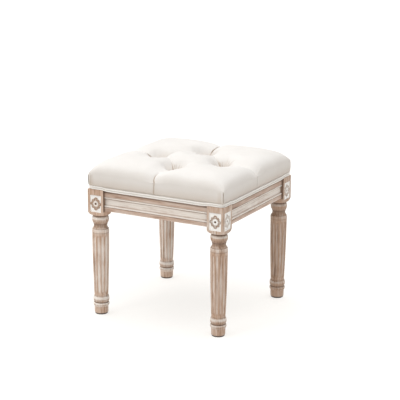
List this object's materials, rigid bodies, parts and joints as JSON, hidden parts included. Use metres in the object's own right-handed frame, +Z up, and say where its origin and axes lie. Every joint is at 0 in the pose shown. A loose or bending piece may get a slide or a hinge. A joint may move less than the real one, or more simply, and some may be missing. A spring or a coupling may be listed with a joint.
{
  "type": "vanity stool",
  "caption": "Square vanity stool with turned, fluted wooden legs, moulded rails, carved corner heads and a deep-buttoned upholstered seat edged with double welt.",
  "frame": {"origin": "on the floor, under the centre of the seat", "axes": "+Z up, -Y towards the front, +X to the right; the stool is the same on all four sides"},
  "size_m": [0.42, 0.42, 0.45],
  "materials": {
    "leg_wood": "limed hardwood: brown grain with pale wax left in the flutes, rings and carved panels",
    "rail_wood": "limed hardwood: brown bands, paler sunk field and beads",
    "brace_wood": "raw hardwood, sawn",
    "plywood": "raw birch plywood",
    "zinc_steel": "zinc plated steel",
    "staple_steel": "galvanised wire",
    "foam": "soft open-cell upholstery foam",
    "batting": "loose white polyester fibre",
    "cover_fabric": "ivory plain-weave linen-look cloth, soft matt with a slight sheen",
    "welt_fabric": "the same ivory cloth wrapped round two cords",
    "twine": "waxed cotton twine",
    "dust_cloth": "black spun-bonded lining cloth",
    "glide_plastic": "dark brown moulded plastic"
  },
  "bodies": {
    "root": {"leg_front_left": "leg_wood", "leg_front_right": "leg_wood", "leg_back_right": "leg_wood", "leg_back_left": "leg_wood", "rail_front": "rail_wood", "rail_right": "rail_wood", "rail_back": "rail_wood", "rail_left": "rail_wood", "corner_brace_front_left": "brace_wood", "corner_brace_front_right": "brace_wood", "corner_brace_back_right": "brace_wood", "corner_brace_back_left": "brace_wood", "rail_dowels": "brace_wood", "hanger_bolts": "zinc_steel", "brace_washers": "zinc_steel", "brace_nuts": "zinc_steel", "brace_screws": "zinc_steel", "seat_screws": "zinc_steel", "glide_nails": "zinc_steel", "seat_board": "plywood", "foam_pad": "foam", "batting_wrap": "batting", "seat_cover": "cover_fabric", "tuft_button_front": "cover_fabric", "tuft_button_right": "cover_fabric", "tuft_button_back": "cover_fabric", "tuft_button_left": "cover_fabric", "tuft_twines": "twine", "twine_staples": "staple_steel", "cover_staples": "staple_steel", "dust_cover_staples": "staple_steel", "double_welt": "welt_fabric", "welt_filler_cords": "twine", "dust_cover": "dust_cloth", "glide_front_left": "glide_plastic", "glide_front_right": "glide_plastic", "glide_back_right": "glide_plastic", "glide_back_left": "glide_plastic"}
  },
  "joints": []
}
